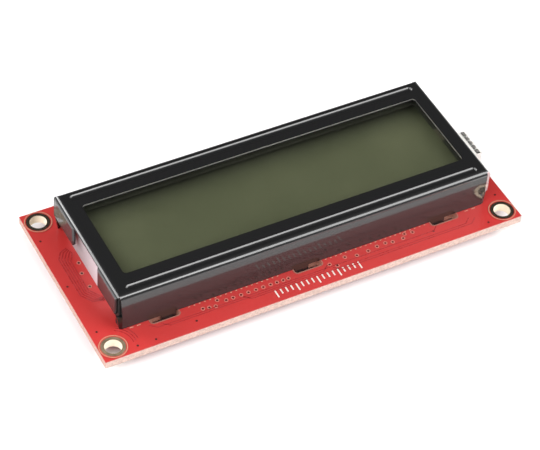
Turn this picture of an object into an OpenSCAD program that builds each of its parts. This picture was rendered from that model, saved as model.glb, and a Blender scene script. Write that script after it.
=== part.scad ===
// Character LCD module: a liquid crystal cell lies over an edge-lit backlight on a printed
// board, and a folded steel bezel holds both down with six twisted tabs.
// Origin: centre of the four mounting holes, on the back face of the board.
// +X runs along the long side, +Y towards the header pads, +Z out of the screen.

/* [Board] */
// Length of the board along X
board_l = 80; // [80:1:84]
// Width of the board along Y
board_w = 36; // [36:1:40]
// Thickness of the board
board_t = 1.6; // [1.2:0.1:2]
// Distance between the mounting holes along X
hole_pitch_x = 75; // [75:0.5:75.5]
// Distance between the mounting holes along Y
hole_pitch_y = 31; // [31:0.5:31.5]
// Finished diameter of a mounting hole
hole_d = 3; // [2.5:0.1:3.2]
// Outer diameter of the tinned ring round a mounting hole
ring_d = 4.9; // [4.2:0.1:4.9]
// Length of a slot that takes a bezel tab
slot_l = 5.2; // [4.8:0.1:5.6]
// Width of a slot that takes a bezel tab
slot_w = 1.6; // [1.5:0.05:1.6]

/* [Bezel] */
// Length of the bezel along X
bezel_l = 71.3; // [71.1:0.1:71.4]
// Width of the bezel along Y
bezel_w = 26; // [26:0.1:26.2]
// Height of the bezel above the board
bezel_h = 7.9; // [7.5:0.1:9]
// Shift of the bezel towards the connector
bezel_x = 0.15; // [0:0.05:0.2]
// Shift of the bezel and the display towards the header pads
bezel_y = 0.3; // [0:0.1:0.4]
// Thickness of the steel sheet
sheet_t = 0.5; // [0.4:0.1:0.5]
// Outer radius of a fold
bend_r = 1; // [0.7:0.1:1]
// Height of the lower edge of an end wall above the board
end_gap = 3.1; // [2.5:0.1:3.5]
// Width of the opening in each end wall
notch_w = 9.7; // [9:0.1:12]
// Width of a bezel tab
tab_w = 2.6; // [2:0.1:2.8]
// How far a tab stands out behind the board
tab_out = 1.8; // [1.7:0.1:2.5]
// Twist of a tab behind the board, in degrees
tab_twist = 32; // [0:4:44]

/* [Window] */
// Length of the window in the bezel
window_l = 65; // [60:0.5:65]
// Width of the window in the bezel
window_w = 17.1; // [14:0.1:17.2]
// Corner radius of the window
window_r = 0.65; // [0.3:0.05:1]
// Length of a stiffening bead beside the window
bead_l = 67; // [60:0.5:68]
// Width of a bead at the surface of the sheet
bead_w = 1.2; // [1:0.05:1.2]
// Depth of a bead
bead_depth = 0.34; // [0.26:0.01:0.36]

/* [Display cell] */
// Length of both glass plates
glass_l = 67.6; // [67:0.2:67.6]
// Thickness of a glass plate
glass_t = 0.7; // [0.5:0.1:0.7]
// Thickness of a polarizer film
film_t = 0.2; // [0.15:0.05:0.25]
// Gap between the two glass plates, filled by the liquid crystal
cell_gap = 0.05; // [0.04:0.01:0.1]

/* [Connector] */
// Number of contacts in the edge connector
ways = 4; // [2:1:5]
// Distance between two contacts
way_pitch = 1; // [1:0.05:1.2]
// Place of the connector along Y
connector_y = -0.9; // [-2:0.1:2]
// Height of the connector above the board
connector_h = 2.9; // [2.7:0.1:3.2]

/* [Hidden] */
$fn = 48;

// Board
plating_t = 0.05;
slot_pitch = 27;
slot_corner_r = 0.5;
slot_rim = 0.2;
rim_l = slot_l + 2 * slot_rim;
rim_w = slot_w + 2 * slot_rim;
slot_y = bezel_w / 2 + 0.2;
header_count = 16;
header_pitch = 2.54;
header_x = -32;
header_y = 15.5;
header_hole_d = 1;
header_pad_d = 1.8;

// Bezel: its corners are open above, where the sheared ends of the walls stop short, and below
// the end walls each long wall runs on in an ear that is bent inwards
corner_gap = 0.65;
wall_taper = 0.3;
ear_start = bezel_l / 2 - corner_gap - wall_taper;
ear_l = 1.2;
ear_bend = 20;
ear_end_top = bezel_l / 2 - 0.1;
ear_end_low = bezel_l / 2 - 0.5;
ear_top = end_gap - 0.15;
end_trim = 0.15;
left_front_trim = 1.1;
flap_corner_r = 0.4;
notch_depth = 0.2;
notch_chamfer = 0.3;
window_x = 0.33 - bezel_x;
window_y = 0.13;
bead_x = 0.25 - bezel_x;
front_bead_y = -11.45;
rear_bead_y = 11.05;
bead_r = bead_w * bead_w / (8 * bead_depth) + bead_depth / 2;
front_tab_shift = [0.95, -0.95, -0.95];
rear_tab_shift = [0.95, 0.95, -0.95];

// Levels of the display stack, counted from the top face of the board
front_glass_top = bezel_h - bead_depth - sheet_t - 0.01;
front_glass_bottom = front_glass_top - glass_t;
rear_glass_top = front_glass_bottom - cell_gap;
rear_glass_bottom = rear_glass_top - glass_t;
backlight_top = rear_glass_bottom - film_t;
tray_floor = 1;
sheet_film_t = 0.15;
guide_bottom = tray_floor + sheet_film_t;
guide_top = backlight_top - 0.65;

// Widths across Y of what lies in the stack
front_glass_w = 24;
rear_glass_w = 19.2;
polarizer_w = 18.8;
seal_w = 1;
port_w = 3;
elastomer_l = 66;
elastomer_t = 1.9;
elastomer_y = 10.95;

// Backlight tray and what it holds
tray_l = 68.7;
tray_w = 19.2;
tray_end_t = 1.35;
tray_side_t = 0.7;
lip_t = 0.5;
lip_gap_w = 5;
cavity_l = tray_l - 2 * tray_end_t;
cavity_w = tray_w - 2 * tray_side_t;
led_strip_t = 0.6;
led_strip_w = 14;
led_t = 1;
led_w = 3;
led_h = 1.4;
led_pitch = 4.6;
led_level = (guide_bottom + guide_top - led_h) / 2;
led_strip_x = cavity_l / 2 - led_strip_t;
guide_end_x = led_strip_x - led_t - 0.1;
pin_count = 4;
pin_pitch = 2;
pin_t = 0.5;
pin_hole_d = 0.9;
pin_pad_d = 1.5;
pin_out = 0.7;
pin_x = led_strip_x + led_strip_t / 2;

// Edge connector, with its mouth at the edge of the board
connector_l = 3.6;
connector_w = (ways - 1) * way_pitch + 3;
contact_w = 0.3;
contact_t = 0.2;
contact_level = 1.3;
contact_tip = 0.6;
foot_l = 0.7;
mouth_depth = 2.7;
mouth_wall = 0.5;
top_slot_w = 0.5;
top_slot_l = 1.5;
anchor_t = 0.2;
anchor_l = 1.9;
anchor_h = 1.6;
anchor_foot = 0.8;

// Parts on the back face: places along X and Y, and a turn about Z
glob_top_places = [[-19, 1], [18, 1]];
glob_top_d = 12;
glob_top_h = 1.35;
micro_place = [0, -2];
micro_w = 7;
micro_h = 1.1;
micro_lead_pitch = 0.8;
resonator_place = [7.6, -8];
resonator_size = [3.2, 1.3, 0.9];
regulator_place = [-32, 6];
regulator_size = [6.5, 3.5, 1.6];
transistor_places = [[29.5, 8, 90], [29.5, 3.5, 90], [29.5, -1, 90]];
transistor_size = [2.9, 1.3, 1.05];
resistor_size = [1.6, 0.8, 0.45];
resistor_places = [
    [26, 8, 90], [26, 3.5, 90], [26, -1, 90], [-9, -8, 0], [-9, -10, 0], [-6, -10, 0],
    [0, 6.5, 0], [3, 6.5, 0], [6, 6.5, 0], [9.5, 1, 90], [9.5, 4, 90], [32, -8, 90]
];
capacitor_size = [1.6, 0.8, 0.8];
capacitor_places = [
    [-36.5, 1, 90], [-27.5, 11, 0], [-32, -1.5, 0], [-8.5, 0, 90], [-8.5, -4, 90],
    [1, -9, 0], [11.5, -8, 90], [-19, -9, 0], [18, -9, 0]
];
terminal_l = 0.3;

// ---- Shapes that several pieces share ----

// A box centred on X and Y, between two levels
module slab(l, w, low, high)
    translate([-l / 2, -w / 2, low])
        cube([l, w, high - low]);

// A slab with rounded corners
module rounded_slab(l, w, r, low, high)
    translate([0, 0, low])
        linear_extrude(high - low) {
            square([l - 2 * r, w], center = true);
            square([l, w - 2 * r], center = true);
            for (x = [-1, 1], y = [-1, 1])
                translate([x * (l / 2 - r), y * (w / 2 - r)])
                    circle(r);
        }

// A rod along X with ball ends, measured between the centres of the balls
module ball_ended_rod(l, r) {
    rotate([0, 90, 0])
        cylinder(h = l, r = r, center = true);
    for (side = [-1, 1])
        translate([side * l / 2, 0, 0])
            sphere(r);
}

// The tinned lining of a round hole: a barrel with a flat ring on each face of the board
module eyelet(bore_d, pad_d)
    difference() {
        union() {
            translate([0, 0, -plating_t])
                cylinder(h = plating_t, d = pad_d);
            translate([0, 0, board_t])
                cylinder(h = plating_t, d = pad_d);
            cylinder(h = board_t, d = bore_d + 2 * plating_t);
        }
        translate([0, 0, -1])
            cylinder(h = board_t + 2, d = bore_d);
    }

// Turns a piece over, so that what is drawn upwards stands out from the back face
module on_back(place, turn = 0)
    translate([place[0], place[1], 0])
        mirror([0, 0, 1])
            rotate(turn)
                children();

// A gull-wing lead that leaves a package at height h and ends in a foot
module gull_lead(w, reach, h, t)
    translate([0, w / 2, 0])
        rotate([90, 0, 0])
            linear_extrude(w)
                polygon([
                    [0, h], [reach * 0.35, h], [reach * 0.55, t], [reach, t],
                    [reach, 0], [reach * 0.45, 0], [reach * 0.25, h - t], [0, h - t]
                ]);

// ---- Bezel ----

// Section of a folded wall that reaches down by drop: outwards is X and up is Y, from the
// plate's top outer corner
module wall_section(drop) {
    translate([-bend_r, -bend_r])
        intersection() {
            difference() {
                circle(bend_r);
                circle(bend_r - sheet_t);
            }
            square(2 * bend_r);
        }
    translate([-sheet_t, -drop])
        square([sheet_t, drop - bend_r]);
}

// An end wall stops above the board
module end_wall()
    translate([bezel_l / 2, bezel_w / 2 - end_trim, bezel_h])
        rotate([90, 0, 0])
            linear_extrude(bezel_w - 2 * end_trim)
                wall_section(bezel_h - end_gap);

// A long wall reaches the board, and its ends are sheared to a taper beside the end walls
module long_wall() {
    half = bezel_l / 2 - corner_gap;
    intersection() {
        translate([-bezel_l / 2, bezel_w / 2, bezel_h])
            rotate([90, 0, 90])
                linear_extrude(bezel_l)
                    wall_section(bezel_h - plating_t);
        translate([0, bezel_w, 0])
            rotate([90, 0, 0])
                linear_extrude(bezel_w)
                    for (side = [0, 1])
                        mirror([side, 0])
                            polygon([
                                [-1, 0], [ear_start, 0], [ear_start, ear_top],
                                [half - wall_taper, ear_top], [half, bezel_h], [-1, bezel_h]
                            ]);
    }
}

// An ear carries a long wall on below the end wall, bent inwards and with a slanted end
module corner_ear()
    intersection() {
        translate([ear_start, bezel_w / 2, plating_t])
            linear_extrude(ear_top - plating_t)
                rotate(-ear_bend)
                    translate([0, -sheet_t])
                        square([ear_l, sheet_t]);
        translate([0, bezel_w, 0])
            rotate([90, 0, 0])
                linear_extrude(bezel_w)
                    polygon([
                        [0, 0], [ear_end_low, 0], [ear_end_top, ear_top], [0, ear_top]
                    ]);
    }

// At the left front corner the end wall is cut back from under its fold
module left_corner_relief() {
    front = -bezel_w / 2;
    translate([-bezel_l / 2 - 1, 0, 0])
        rotate([90, 0, 90])
            linear_extrude(1 + sheet_t + 0.1)
                polygon([
                    [front - 1, 0], [front + left_front_trim, 0],
                    [front + left_front_trim, bezel_h - 1.3], [front + end_trim, bezel_h],
                    [front - 1, bezel_h]
                ]);
}

// A tab runs straight through the board and is twisted behind it
module tab() {
    translate([-tab_w / 2, -sheet_t / 2, -board_t])
        cube([tab_w, sheet_t, board_t + 2 * plating_t]);
    translate([0, 0, -board_t])
        mirror([0, 0, 1])
            linear_extrude(tab_out, twist = tab_twist, slices = 12, segments = 12)
                square([tab_w, sheet_t], center = true);
}

module tabs() {
    wall_y = (bezel_w - sheet_t) / 2;
    for (i = [0:2]) {
        slot_x = (i - 1) * slot_pitch - bezel_x;
        translate([slot_x + front_tab_shift[i], -wall_y, 0])
            tab();
        translate([slot_x + rear_tab_shift[i], wall_y, 0])
            tab();
    }
}

// The opening in an end wall runs a little way into the fold, with slanted ends; the two flaps
// it leaves have rounded lower corners
module end_notch() {
    inner = bezel_l / 2 - notch_depth;
    outer = bezel_l / 2 + 1;
    half = notch_w / 2;
    low = -1;
    translate([0, 0, low])
        linear_extrude(bezel_h + 2)
            polygon([
                [inner, -half], [bezel_l / 2, -half - notch_chamfer], [outer, -half - notch_chamfer],
                [outer, half + notch_chamfer], [bezel_l / 2, half + notch_chamfer], [inner, half]
            ]);
    translate([inner - 1, -half, low])
        cube([2, notch_w, bezel_h - sheet_t - low]);
    for (side = [0, 1])
        mirror([0, side, 0])
            translate([inner - 1, half, end_gap])
                rotate([90, 0, 90])
                    linear_extrude(3)
                        difference() {
                            translate([-1, -1])
                                square(1 + flap_corner_r);
                            translate([flap_corner_r, flap_corner_r])
                                circle(flap_corner_r);
                        }
}

module bezel() {
    bead_level = bezel_h - bead_depth + bead_r;
    color("#1b1b1d")
        translate([bezel_x, bezel_y, board_t]) {
            difference() {
                union() {
                    slab(bezel_l - 2 * bend_r, bezel_w - 2 * bend_r, bezel_h - sheet_t, bezel_h);
                    end_wall();
                    difference() {
                        mirror([1, 0, 0])
                            end_wall();
                        left_corner_relief();
                    }
                    for (side = [0, 1])
                        mirror([0, side, 0]) {
                            long_wall();
                            corner_ear();
                            mirror([1, 0, 0])
                                corner_ear();
                        }
                    for (y = [front_bead_y, rear_bead_y])
                        intersection() {
                            translate([bead_x, y, bead_level])
                                ball_ended_rod(bead_l - bead_w, bead_r + sheet_t);
                            slab(bezel_l - 2.2, bezel_w - 1.2, bezel_h - 2, bezel_h - sheet_t);
                        }
                }
                translate([window_x, window_y, 0])
                    rounded_slab(window_l, window_w, window_r, bezel_h - 2, bezel_h + 1);
                for (y = [front_bead_y, rear_bead_y])
                    translate([bead_x, y, bead_level])
                        ball_ended_rod(bead_l - bead_w, bead_r);
                end_notch();
                mirror([1, 0, 0])
                    end_notch();
            }
            tabs();
        }
}

// ---- Display cell ----

module in_stack()
    translate([0, bezel_y, board_t])
        children();

module front_polarizer()
    color("#5a5e48", 0.6)
        in_stack()
            slab(glass_l - 1, polarizer_w, front_glass_top, front_glass_top + film_t);

module front_glass()
    color("#cfe3dc", 0.4)
        in_stack()
            slab(glass_l, front_glass_w, front_glass_bottom, front_glass_top);

module rear_glass()
    color("#cfe3dc", 0.4)
        in_stack()
            slab(glass_l, rear_glass_w, rear_glass_bottom, rear_glass_top);

module rear_polarizer()
    color("#6b6f56")
        in_stack()
            slab(glass_l - 1, polarizer_w, backlight_top, rear_glass_bottom);

// The fill port is a gap in the right end of the seal
module fill_port(low, high)
    translate([glass_l / 2 - seal_w, -port_w / 2, low])
        cube([seal_w, port_w, high - low]);

module cell_seal()
    color("#3b3b34")
        in_stack()
            difference() {
                slab(glass_l, rear_glass_w, rear_glass_top, front_glass_bottom);
                slab(
                    glass_l - 2 * seal_w, rear_glass_w - 2 * seal_w,
                    rear_glass_top - 1, front_glass_bottom + 1
                );
                fill_port(rear_glass_top - 1, front_glass_bottom + 1);
            }

module fill_port_plug()
    color("#d8d2a8")
        in_stack() {
            fill_port(rear_glass_top, front_glass_bottom);
            translate([glass_l / 2, 0, (rear_glass_top + front_glass_bottom) / 2])
                intersection() {
                    rotate([90, 0, 0])
                        cylinder(h = port_w + 1, d = 1, center = true);
                    translate([0, -port_w, -1])
                        cube([1, 2 * port_w, 2]);
                }
        }

module liquid_crystal()
    color("#7c8465", 0.5)
        in_stack()
            slab(glass_l - 2 * seal_w, rear_glass_w - 2 * seal_w, rear_glass_top, front_glass_bottom);

// A zebra strip carries the board's contacts up to the ledge of the front glass
module elastomer(side)
    color("#b9b3ad")
        in_stack()
            translate([0, side * elastomer_y, 0])
                slab(elastomer_l, elastomer_t, 0, front_glass_bottom);

module elastomer_front() elastomer(-1);
module elastomer_rear() elastomer(1);

// ---- Backlight ----

module backlight_pin_row()
    for (i = [0:pin_count - 1])
        translate([pin_x, (i - (pin_count - 1) / 2) * pin_pitch, 0])
            children();

module diffuser_sheet()
    color("#eef0f2")
        in_stack()
            translate([(guide_end_x - cavity_l / 2) / 2, 0, 0])
                slab(guide_end_x + cavity_l / 2 - 0.2, cavity_w - 0.2, guide_top, guide_top + sheet_film_t);

module light_guide()
    color("#e6f2f4", 0.5)
        in_stack()
            translate([(guide_end_x - cavity_l / 2) / 2, 0, 0])
                slab(guide_end_x + cavity_l / 2 - 0.2, cavity_w - 0.2, guide_bottom, guide_top);

module reflector_sheet()
    color("#fafafa")
        in_stack()
            translate([(guide_end_x - cavity_l / 2) / 2, 0, 0])
                slab(guide_end_x + cavity_l / 2 - 0.2, cavity_w - 0.2, tray_floor, guide_bottom);

// A white tray, whose ends show through the openings in the end walls. A lip on each end stops
// the glass, and the right one leaves room for the fill port
module backlight_housing()
    color("#f1eef0")
        in_stack()
            difference() {
                union() {
                    slab(tray_l, tray_w, 0, backlight_top);
                    for (side = [-1, 1])
                        translate([side * (tray_l - lip_t) / 2, 0, 0])
                            slab(lip_t, tray_w, 0, bezel_h - sheet_t - 0.05);
                }
                translate([tray_l / 2, 0, 0])
                    slab(2 * lip_t + 0.1, lip_gap_w, backlight_top, bezel_h);
                slab(cavity_l, cavity_w, tray_floor, backlight_top + 1);
                backlight_pin_row() {
                    cylinder(h = 3, d = pin_hole_d, center = true);
                    cylinder(h = 0.4, d = pin_pad_d + 0.4, center = true);
                }
            }

module led_strip()
    color("#e9e4c8")
        in_stack()
            translate([led_strip_x, -led_strip_w / 2, tray_floor])
                cube([led_strip_t, led_strip_w, guide_top - tray_floor]);

module backlight_leds()
    color("#f4efb6")
        in_stack()
            for (i = [-1:1])
                translate([led_strip_x - led_t, i * led_pitch - led_w / 2, led_level])
                    cube([led_t, led_w, led_h]);

module backlight_pins()
    color("#c9c9c4")
        translate([0, bezel_y, 0])
            backlight_pin_row()
                slab(pin_t, pin_t, -pin_out, board_t + tray_floor);

// ---- Board ----

module mounting_hole_places()
    for (x = [-1, 1], y = [-1, 1])
        translate([x * hole_pitch_x / 2, y * hole_pitch_y / 2, 0])
            children();

module slot_places()
    for (i = [-1:1], side = [-1, 1])
        translate([i * slot_pitch, bezel_y + side * slot_y, 0])
            children();

module header_places()
    for (i = [0:header_count - 1])
        translate([header_x + i * header_pitch, header_y, 0])
            children();

module circuit_board()
    color("#cc3a3a")
        difference() {
            slab(board_l, board_w, 0, board_t);
            mounting_hole_places()
                translate([0, 0, -1])
                    cylinder(h = board_t + 2, d = hole_d + 2 * plating_t);
            slot_places()
                rounded_slab(slot_l, slot_w, slot_corner_r, -1, board_t + 1);
            header_places()
                translate([0, 0, -1])
                    cylinder(h = board_t + 2, d = header_hole_d + 2 * plating_t);
            translate([0, bezel_y, -1])
                backlight_pin_row()
                    cylinder(h = board_t + 2, d = pin_hole_d + 2 * plating_t);
        }

module mounting_rings()
    color("#8f8672")
        mounting_hole_places()
            eyelet(hole_d, ring_d);

// A tinned rim round each tab slot, on both faces
module slot_rims()
    color("#c4bba6")
        slot_places()
            for (low = [-plating_t, board_t])
                difference() {
                    rounded_slab(rim_l, rim_w, slot_corner_r + slot_rim, low, low + plating_t);
                    rounded_slab(slot_l, slot_w, slot_corner_r, low - 1, low + 1);
                }

module header_pads()
    color("#c8b47a")
        header_places()
            eyelet(header_hole_d, header_pad_d);

module pin_pads()
    color("#c4bba6")
        translate([0, bezel_y, 0])
            backlight_pin_row()
                eyelet(pin_hole_d, pin_pad_d);

// ---- Edge connector ----

module at_connector()
    translate([board_l / 2, connector_y, board_t])
        children();

module contact_places()
    for (i = [0:ways - 1])
        translate([0, (i - (ways - 1) / 2) * way_pitch, 0])
            children();

// A contact: foot on the board, riser behind the housing, and a beam that runs into the mouth
module contact() {
    back = -connector_l;
    beam_top = contact_level + contact_t;
    translate([0, contact_w / 2, 0])
        rotate([90, 0, 0])
            linear_extrude(contact_w)
                polygon([
                    [back - foot_l, 0], [back, 0], [back, contact_level], [-contact_tip, contact_level],
                    [-contact_tip, beam_top], [back - contact_t, beam_top],
                    [back - contact_t, contact_t], [back - foot_l, contact_t]
                ]);
}

module connector_housing()
    color("#e9e3d6")
        at_connector()
            difference() {
                translate([-connector_l / 2, 0, 0])
                    slab(connector_l, connector_w, 0, connector_h);
                translate([1 - mouth_depth / 2, 0, 0])
                    slab(
                        mouth_depth + 2, connector_w - 2 * mouth_wall,
                        mouth_wall, connector_h - mouth_wall
                    );
                contact_places() {
                    translate([1 - top_slot_l, -top_slot_w / 2, connector_h - 1])
                        cube([top_slot_l, top_slot_w, 2]);
                    contact();
                }
            }

module connector_contacts()
    color("#b9b6ac")
        at_connector()
            contact_places()
                contact();

// A hold-down on each side of the housing: a plate against the wall and a foot on the board
module connector_anchors()
    color("#b9b6ac")
        at_connector()
            for (side = [0, 1])
                mirror([0, side, 0])
                    translate([-connector_l + 0.6, connector_w / 2, 0]) {
                        cube([anchor_l, anchor_t, anchor_h]);
                        cube([anchor_l, anchor_foot, anchor_t]);
                    }

// ---- Parts on the back of the board ----

module driver_glob_tops() {
    ball_r = (glob_top_d * glob_top_d / 4 + glob_top_h * glob_top_h) / (2 * glob_top_h);
    color("#151515")
        for (place = glob_top_places)
            on_back(place)
                intersection() {
                    translate([0, 0, glob_top_h - ball_r])
                        sphere(ball_r, $fn = 240);
                    cylinder(h = 2 * glob_top_h, d = glob_top_d + 2);
                }
}

module microcontroller_body()
    color("#222326")
        on_back(micro_place)
            difference() {
                slab(micro_w, micro_w, 0.1, micro_h);
                translate([0.8 - micro_w / 2, micro_w / 2 - 0.8, micro_h - 0.1])
                    cylinder(h = 1, r = 0.35);
            }

module microcontroller_leads()
    color("#bfc0c0")
        on_back(micro_place)
            for (side = [0:3], i = [0:7])
                rotate(side * 90)
                    translate([micro_w / 2, (i - 3.5) * micro_lead_pitch, 0])
                        gull_lead(0.37, 1, 0.65, 0.13);

// A package body stands clear of the board on its leads
module package_body(size)
    slab(size[0], size[1], 0.08, size[2]);

// Two or more leads on one long side of a package, and one wide or narrow lead on the other
module package_lead_set(size, count, pitch, lead_w, rear_w) {
    for (i = [0:count - 1])
        translate([(i - (count - 1) / 2) * pitch, -size[1] / 2, 0])
            rotate(-90)
                gull_lead(lead_w, size[1] * 0.4, size[2] * 0.55, 0.14);
    translate([0, size[1] / 2, 0])
        rotate(90)
            gull_lead(rear_w, size[1] * 0.4, size[2] * 0.55, 0.14);
}

module regulator_body()
    color("#222326")
        on_back(regulator_place)
            package_body(regulator_size);

module transistor_bodies()
    color("#222326")
        for (place = transistor_places)
            on_back(place, place[2])
                package_body(transistor_size);

module package_leads()
    color("#bfc0c0") {
        on_back(regulator_place)
            package_lead_set(regulator_size, 3, 2.3, 0.7, 3);
        for (place = transistor_places)
            on_back(place, place[2])
                package_lead_set(transistor_size, 2, 1.9, 0.4, 0.4);
    }

// The ceramic of a chip part, between its two end terminals
module chip_core(size)
    slab(size[0] - 2 * terminal_l, size[1], 0, size[2]);

module chip_ends(size)
    for (side = [-1, 1])
        translate([side * (size[0] - terminal_l) / 2, 0, 0])
            slab(terminal_l, size[1], 0, size[2]);

module resonator_body()
    color("#c9b48c")
        on_back(resonator_place)
            chip_core(resonator_size);

module chip_resistors()
    color("#1d1d1f")
        for (place = resistor_places)
            on_back(place, place[2])
                chip_core(resistor_size);

module chip_capacitors()
    color("#a88a5e")
        for (place = capacitor_places)
            on_back(place, place[2])
                chip_core(capacitor_size);

module chip_terminals()
    color("#cfcfca") {
        on_back(resonator_place)
            chip_ends(resonator_size);
        for (place = resistor_places)
            on_back(place, place[2])
                chip_ends(resistor_size);
        for (place = capacitor_places)
            on_back(place, place[2])
                chip_ends(capacitor_size);
    }

// ---- Solder ----

// A cone of solder round each backlight pin, and a wedge at each foot of the connector
module solder_joints()
    color("#c8c8c4") {
        translate([0, bezel_y, -plating_t])
            backlight_pin_row()
                mirror([0, 0, 1])
                    difference() {
                        cylinder(h = 0.5, d1 = pin_pad_d - 0.1, d2 = 0.8);
                        slab(pin_t, pin_t, -1, 1);
                    }
        at_connector() {
            contact_places()
                translate([-connector_l - foot_l, 0, 0])
                    solder_wedge(contact_w, contact_t);
            for (side = [-1, 1])
                translate([-connector_l + 0.6 + anchor_l / 2, side * (connector_w / 2 + anchor_foot), 0])
                    rotate(-side * 90)
                        solder_wedge(anchor_l, anchor_t);
        }
    }

// A wedge that slopes down from height h, away from a foot that lies on its +X side
module solder_wedge(w, h)
    translate([0, w / 2, 0])
        rotate([90, 0, 0])
            linear_extrude(w)
                polygon([[0, 0], [0, h], [-2 * h, 0]]);

bezel();
front_polarizer();
front_glass();
cell_seal();
fill_port_plug();
liquid_crystal();
rear_glass();
rear_polarizer();
elastomer_front();
elastomer_rear();
diffuser_sheet();
light_guide();
reflector_sheet();
backlight_housing();
led_strip();
backlight_leds();
backlight_pins();
circuit_board();
mounting_rings();
slot_rims();
header_pads();
pin_pads();
connector_housing();
connector_contacts();
connector_anchors();
driver_glob_tops();
microcontroller_body();
microcontroller_leads();
resonator_body();
regulator_body();
transistor_bodies();
package_leads();
chip_resistors();
chip_capacitors();
chip_terminals();
solder_joints();
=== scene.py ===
# %% [markdown]
# A character display module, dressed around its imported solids.
# The solids of the part already have their true places and sizes, so nothing here is fitted:
# each cell gives one piece its finish, or adds detail that is too fine for the solids, such as
# copper tracks and vias. Lengths are in metres, and MM turns millimetres into metres. Outlines
# of flat work are drawn in millimetres and turned into metres when they are made.

# %% Load the solids
import math

import bmesh
import bpy
from mathutils import Matrix, Vector


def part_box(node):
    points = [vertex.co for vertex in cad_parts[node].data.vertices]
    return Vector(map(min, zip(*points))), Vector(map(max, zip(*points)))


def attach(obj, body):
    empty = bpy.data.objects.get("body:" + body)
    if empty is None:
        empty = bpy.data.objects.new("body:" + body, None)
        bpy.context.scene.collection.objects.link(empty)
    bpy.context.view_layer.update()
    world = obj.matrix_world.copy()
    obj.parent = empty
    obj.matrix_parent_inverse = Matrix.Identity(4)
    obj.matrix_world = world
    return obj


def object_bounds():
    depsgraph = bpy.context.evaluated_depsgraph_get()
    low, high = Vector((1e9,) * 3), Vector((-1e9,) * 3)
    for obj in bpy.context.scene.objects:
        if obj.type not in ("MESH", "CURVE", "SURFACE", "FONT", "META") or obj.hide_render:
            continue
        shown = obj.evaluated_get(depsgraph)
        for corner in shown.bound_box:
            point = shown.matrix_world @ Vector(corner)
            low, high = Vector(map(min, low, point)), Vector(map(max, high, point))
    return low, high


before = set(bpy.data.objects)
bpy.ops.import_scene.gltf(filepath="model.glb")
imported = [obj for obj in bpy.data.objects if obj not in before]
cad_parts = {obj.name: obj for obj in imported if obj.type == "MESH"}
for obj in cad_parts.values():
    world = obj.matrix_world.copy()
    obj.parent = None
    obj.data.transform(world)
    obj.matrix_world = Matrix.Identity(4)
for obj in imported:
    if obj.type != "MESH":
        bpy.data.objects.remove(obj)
cad_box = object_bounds()
MM = 0.001
print("solids loaded:", len(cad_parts), "nodes")

# %% [markdown]
# Places come from the boxes of the solids. The board is the reference: its top face carries the
# tracks and vias. The bezel's twisted tabs reach further out than its walls, so the walls are
# measured from the bezel's corners above the board.

# %% Measure the board and the bezel
BOARD_LOW, BOARD_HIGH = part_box("circuit_board")
BEZEL_LOW, BEZEL_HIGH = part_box("bezel")
TOP = BOARD_HIGH.z
BACK = BOARD_LOW.z
ABOVE_TABS = TOP + 1 * MM
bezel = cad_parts["bezel"]
wall_places = [v.co.y for v in bezel.data.vertices if v.co.z > ABOVE_TABS]
FRONT_WALL_Y, REAR_WALL_Y = min(wall_places), max(wall_places)
print("board top", round(TOP / MM, 2), "mm, front wall at y", round(FRONT_WALL_Y / MM, 2), "mm")

# %% [markdown]
# Every finish starts from the same shader, and a finish is more than a colour: real surfaces
# vary a little in tone and gloss and are never perfectly flat. Painted images could show that,
# but they need unwrapping and have seams. So one helper makes the shader, and the next ones feed
# it with noise whose grain is given in millimetres.

# %% A finish to start from, and noise
def new_finish(name, colour, roughness, metal=0.0, ior=1.5):
    """A material with one main shader, and its node tree, shader and coordinates."""
    material = bpy.data.materials.new(name)
    material.use_nodes = True
    tree = material.node_tree
    shader = tree.nodes["Principled BSDF"]
    shader.inputs["Base Color"].default_value = (*colour, 1)
    shader.inputs["Roughness"].default_value = roughness
    shader.inputs["Metallic"].default_value = metal
    shader.inputs["IOR"].default_value = ior
    place = tree.nodes.new("ShaderNodeTexCoord")
    return material, tree, shader, place.outputs["Object"]


def noise(tree, place, grain_mm, detail=3.0):
    """Noise whose lumps are about grain_mm across."""
    node = tree.nodes.new("ShaderNodeTexNoise")
    node.inputs["Scale"].default_value = 1 / (grain_mm * MM)
    node.inputs["Detail"].default_value = detail
    tree.links.new(place, node.inputs["Vector"])
    return node.outputs["Fac"]


def stretch(tree, value, low, high, start=0.3, end=0.7):
    """Turns start..end into low..high. Noise stays near the middle, hence 0.3 and 0.7."""
    node = tree.nodes.new("ShaderNodeMapRange")
    node.inputs["From Min"].default_value = start
    node.inputs["From Max"].default_value = end
    node.inputs["To Min"].default_value = low
    node.inputs["To Max"].default_value = high
    tree.links.new(value, node.inputs["Value"])
    return node.outputs["Result"]


print("noise helpers ready")

# %% [markdown]
# One solid often has more than one finish: a cut edge beside a coated face, or a dark zone on a
# pale moulding. Each zone could have a material of its own on its own faces, but many zones end
# in the middle of a face. So they come from plain arithmetic on the place of a point and on the
# direction that its face looks in. A test gives 1 where it holds and 0 elsewhere, so the product
# of two tests is a zone where both hold, and a zone can blend two colours.

# %% Helpers for zones and colours
def blend_colours(tree, amount, first, second):
    """One colour where amount is 0, the other where it is 1."""
    node = tree.nodes.new("ShaderNodeMix")
    node.data_type = "RGBA"
    tree.links.new(amount, node.inputs["Factor"])
    for socket, colour in ((node.inputs["A"], first), (node.inputs["B"], second)):
        if isinstance(colour, tuple):
            socket.default_value = (*colour, 1)
        else:
            tree.links.new(colour, socket)
    return node.outputs["Result"]


def calculate(tree, operation, first, second=None):
    """One step of arithmetic on the way to a shader; either term may be a plain number."""
    node = tree.nodes.new("ShaderNodeMath")
    node.operation = operation
    for socket, term in zip(node.inputs, (first, second)):
        if isinstance(term, (int, float)):
            socket.default_value = term
        elif term is not None:
            tree.links.new(term, socket)
    return node.outputs["Value"]


def all_of(tree, first, *others):
    """1 where every test is 1."""
    for test in others:
        first = calculate(tree, "MULTIPLY", first, test)
    return first


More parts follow.
